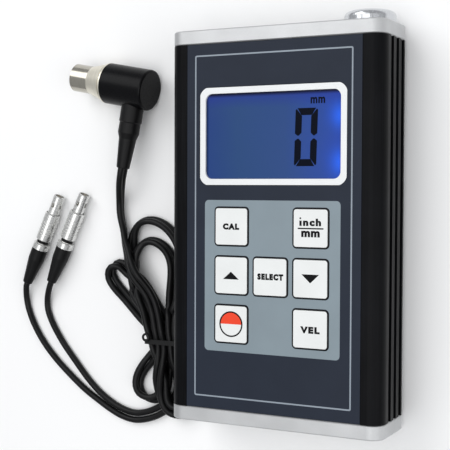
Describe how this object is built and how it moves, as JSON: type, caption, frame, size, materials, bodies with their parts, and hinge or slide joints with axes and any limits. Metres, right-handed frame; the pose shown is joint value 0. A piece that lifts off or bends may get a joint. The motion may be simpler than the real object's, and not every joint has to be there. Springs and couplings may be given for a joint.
{
  "type": "ultrasonic thickness gauge",
  "caption": "Flat handheld gauge with a display and keys, lying on its back beside its angled ultrasonic probe, whose folded lead ends in push-pull plugs; measures wall thickness by echo.",
  "frame": {"origin": "middle of the gauge's back face, which lies on the surface", "axes": "+X to the right across the gauge, +Y up the gauge to the probe sockets, +Z out of its front face"},
  "size_m": [0.1443, 0.1345, 0.0233],
  "materials": {
    "black_anodised": "black anodised, satin",
    "satin_aluminium": "machined, satin anodised",
    "screw_steel": "zinc plated",
    "panel_film": "fine-textured printed film",
    "white_frame": "moulded, white",
    "display_glass": "blue transmissive display",
    "diffuser": "white light guide",
    "contact_rubber": "layered contact rubber",
    "white_key": "white silicone-feel keys",
    "board_laminate": "green solder mask",
    "chip_resin": "moulded resin",
    "spring_steel": "nickel plated",
    "black_plastic": "moulded, fine grain",
    "cell_jacket": "printed metal jacket",
    "polished_steel": "lapped test block",
    "plated_brass": "satin nickel plate",
    "bare_brass": "turned",
    "insulator": "white insulator",
    "gold_contact": "gold plated",
    "nickel_nose": "turned, satin nickel",
    "probe_plastic": "black, satin",
    "delay_resin": "amber resin",
    "cork": "pressed cork",
    "silvered_crystal": "silvered crystal",
    "backing_resin": "loaded resin",
    "black_rubber": "matt",
    "cable_jacket": "satin jacket",
    "tie_plastic": "coated wire"
  },
  "bodies": {
    "gauge": {"housing": "black_anodised", "top_cap": "satin_aluminium", "bottom_cap": "satin_aluminium", "cap_screws": "screw_steel", "front_panel": "panel_film", "lcd_frame": "white_frame", "lcd_glass": "display_glass", "lcd_backlight": "diffuser", "lcd_connectors": "contact_rubber", "circuit_board": "board_laminate", "chips": "chip_resin", "key_domes": "spring_steel", "battery_tray": "black_plastic", "cell_1": "cell_jacket", "cell_2": "cell_jacket", "cell_3": "cell_jacket", "cell_4": "cell_jacket", "battery_contacts": "spring_steel", "battery_springs": "spring_steel", "zero_disc": "polished_steel", "socket_1": "plated_brass", "socket_2": "plated_brass", "socket_nuts": "bare_brass", "socket_insulators": "insulator", "socket_contacts": "gold_contact", "probe_nose": "nickel_nose", "probe_body": "probe_plastic", "delay_lines": "delay_resin", "sound_barrier": "cork", "crystals": "silvered_crystal", "probe_backing": "backing_resin", "probe_boot": "black_rubber", "plug_1_nose": "plated_brass", "plug_1_insulator": "insulator", "plug_1_pin": "gold_contact", "plug_1_nut": "plated_brass", "plug_1_boot": "black_rubber", "plug_2_nose": "plated_brass", "plug_2_insulator": "insulator", "plug_2_pin": "gold_contact", "plug_2_nut": "plated_brass", "plug_2_boot": "black_rubber", "lead_1": "cable_jacket", "lead_2": "cable_jacket", "cable_hank": "cable_jacket", "cable_tie": "tie_plastic", "tail_1": "cable_jacket", "tail_2": "cable_jacket"},
    "cal_key": {"key_cal": "white_key"},
    "unit_key": {"key_unit": "white_key"},
    "up_key": {"key_up": "white_key"},
    "select_key": {"key_select": "white_key"},
    "down_key": {"key_down": "white_key"},
    "power_key": {"key_power": "white_key"},
    "velocity_key": {"key_velocity": "white_key"},
    "cover": {"battery_cover": "black_plastic"},
    "sleeve_1": {"plug_1_sleeve": "plated_brass"},
    "sleeve_2": {"plug_2_sleeve": "plated_brass"}
  },
  "joints": [
    {"name": "cal_press", "type": "slide", "parent": "gauge", "child": "cal_key", "axis": [0, 0, -1], "range_m": [0, 0.0004], "stiffness_N_per_m": 2500},
    {"name": "unit_press", "type": "slide", "parent": "gauge", "child": "unit_key", "axis": [0, 0, -1], "range_m": [0, 0.0004], "stiffness_N_per_m": 2500},
    {"name": "up_press", "type": "slide", "parent": "gauge", "child": "up_key", "axis": [0, 0, -1], "range_m": [0, 0.0004], "stiffness_N_per_m": 2500},
    {"name": "select_press", "type": "slide", "parent": "gauge", "child": "select_key", "axis": [0, 0, -1], "range_m": [0, 0.0004], "stiffness_N_per_m": 2500},
    {"name": "down_press", "type": "slide", "parent": "gauge", "child": "down_key", "axis": [0, 0, -1], "range_m": [0, 0.0004], "stiffness_N_per_m": 2500},
    {"name": "power_press", "type": "slide", "parent": "gauge", "child": "power_key", "axis": [0, 0, -1], "range_m": [0, 0.0004], "stiffness_N_per_m": 2500},
    {"name": "velocity_press", "type": "slide", "parent": "gauge", "child": "velocity_key", "axis": [0, 0, -1], "range_m": [0, 0.0004], "stiffness_N_per_m": 2500},
    {"name": "cover_slide", "type": "slide", "parent": "gauge", "child": "cover", "axis": [0, -1, 0], "range_m": [0, 0.06]},
    {"name": "sleeve_1_release", "type": "slide", "parent": "gauge", "child": "sleeve_1", "axis": [-0.4179, -0.9085, 0], "range_m": [0, 0.0012], "stiffness_N_per_m": 1000},
    {"name": "sleeve_2_release", "type": "slide", "parent": "gauge", "child": "sleeve_2", "axis": [-0.4179, -0.9085, 0], "range_m": [0, 0.0012], "stiffness_N_per_m": 1000}
  ]
}
